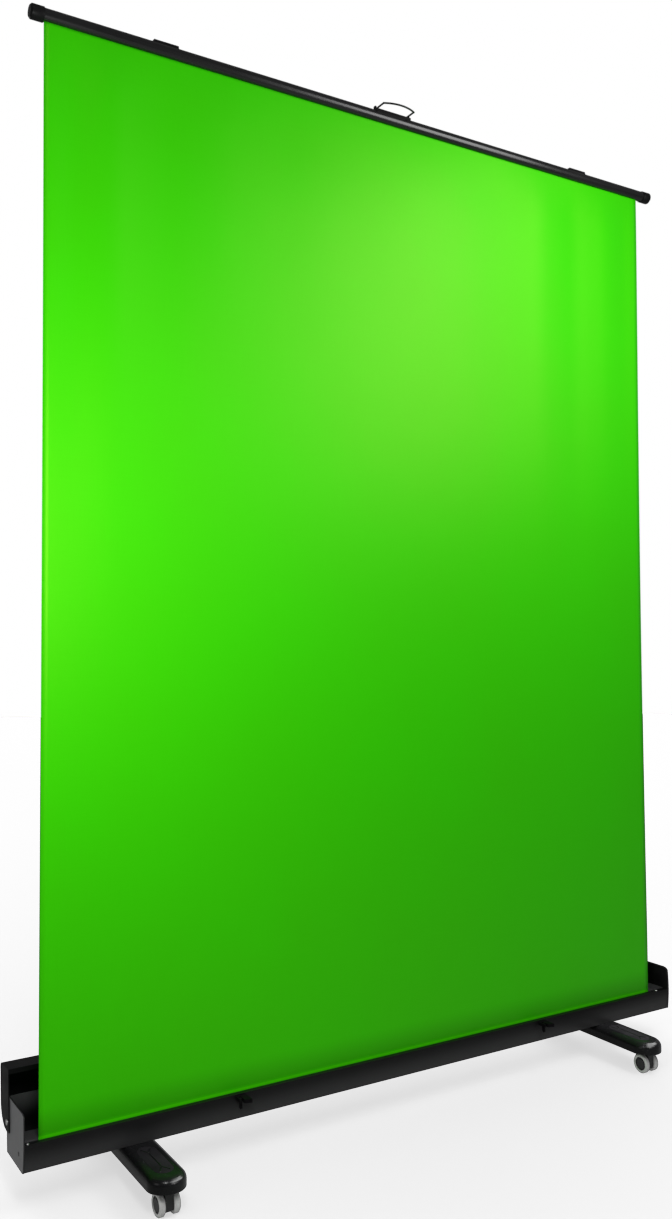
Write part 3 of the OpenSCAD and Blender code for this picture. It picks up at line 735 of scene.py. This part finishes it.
# soft boxes: place, width and height, power in watts, point they face
LIGHTS = {
    "softbox_left": ((-0.90, -0.95, 1.26), (0.30, 0.55), 9.0, (-0.8, 0, 1.15)),
    "softbox_right": ((0.637, -0.90, 1.923), (0.60, 1.0), 11.4, (0, 0, 1.1)),
    "softbox_high": ((-1.186, -1.20, 2.835), (0.50, 0.50), 3.6, (0, 0, 1.1)),
    "softbox_side": ((-2.6, -0.60, 1.0), (0.90, 0.90), 4.0, (-0.8, 0, 0.15)),
    "softbox_rear_left": ((-1.6, 2.2, 2.2), (1.4, 1.4), 8.0, (0, 0, 0.9)),
    "softbox_rear_right": ((1.7, 2.0, 1.6), (1.4, 1.4), 7.0, (0, 0, 0.9)),
    "softbox_feet": ((0.8, -0.90, 1.3), (2.6, 1.0), 120.0, (0, -0.2, 0.06)),
}
AMBIENT = 0.16
FLOOR_FILL = 560.0              # watts
FILL_WIDE, FILL_UP = 7.0, 4.0   # side of the fill's square, and its height above the floor
FLOOR_R, FLOOR_SIDES = 14.0, 48


def make_stage():
    scene = bpy.context.scene
    scene.view_settings.view_transform = "Standard"
    scene.view_settings.look = "None"
    scene.view_settings.exposure = 0
    scene.view_settings.gamma = 1
    world = bpy.data.worlds.new("studio")
    scene.world = world
    world.use_nodes = True
    nt = world.node_tree
    nt.nodes.clear()
    out = nt.nodes.new("ShaderNodeOutputWorld")
    seen = nt.nodes.new("ShaderNodeBackground")
    fill = nt.nodes.new("ShaderNodeBackground")
    mix = nt.nodes.new("ShaderNodeMixShader")
    path = nt.nodes.new("ShaderNodeLightPath")
    seen.inputs["Color"].default_value = (1, 1, 1, 1)
    seen.inputs["Strength"].default_value = 1.0
    fill.inputs["Color"].default_value = (1, 1, 1, 1)
    fill.inputs["Strength"].default_value = AMBIENT
    nt.links.new(path.outputs["Is Camera Ray"], mix.inputs[0])
    nt.links.new(fill.outputs[0], mix.inputs[1])
    nt.links.new(seen.outputs[0], mix.inputs[2])
    nt.links.new(mix.outputs[0], out.inputs[0])

    # the light over the feet reaches the feet only
    feet = bpy.data.collections.new("feet_only")
    for ob in bpy.data.objects:
        if ob.name.startswith("foot_"):
            feet.objects.link(ob)
    for name, (at, (wide, high), watts, aim) in LIGHTS.items():
        data = bpy.data.lights.new(name, "AREA")
        data.shape = "RECTANGLE"
        data.size = wide
        data.size_y = high
        data.energy = watts
        ob = bpy.data.objects.new(name, data)
        scene.collection.objects.link(ob)
        ob.location = at
        ob.rotation_mode = "QUATERNION"
        ob.rotation_quaternion = (Vector(aim) - Vector(at)).to_track_quat("-Z", "Y")
        ob.visible_camera = False
        if name == "softbox_feet":
            ob.light_linking.receiver_collection = feet

    floor_mat = Shader("floor_pale", Roughness=0.7)
    floor_mat.colour(floor_mat.blend(floor_mat.noise(3), (0.128, 0.128, 0.128), (0.143, 0.143, 0.143)))
    mesh = bpy.data.meshes.new("floor")
    ring = []
    for k in range(FLOOR_SIDES):
        t = 2 * math.pi * k / FLOOR_SIDES
        ring.append((FLOOR_R * math.cos(t), FLOOR_R * math.sin(t), 0))
    mesh.from_pydata(ring, [], [tuple(range(FLOOR_SIDES))])
    floor = bpy.data.objects.new("floor", mesh)
    scene.collection.objects.link(floor)
    mesh.materials.append(floor_mat.mat)
    floor.location.z = -0.0002
    floor.is_shadow_catcher = True
    # a wide fill that reaches the floor only, so that the shadows on it stay faint
    only_floor = bpy.data.collections.new("floor_only")
    only_floor.objects.link(floor)
    data = bpy.data.lights.new("floor_fill", "AREA")
    data.shape = "SQUARE"
    data.size = FILL_WIDE
    data.energy = FLOOR_FILL
    fill_ob = bpy.data.objects.new("floor_fill", data)
    scene.collection.objects.link(fill_ob)
    fill_ob.location = (0, 0, FILL_UP)
    fill_ob.visible_camera = False
    fill_ob.light_linking.receiver_collection = only_floor
    fill_ob.light_linking.blocker_collection = only_floor


# ---------------------------------------------------------------- build

make_camera()
MATS = make_materials()
dress_cad(MATS)
fabric_sheet(MATS)
fabric_roll(MATS)
details(MATS)
make_stage()
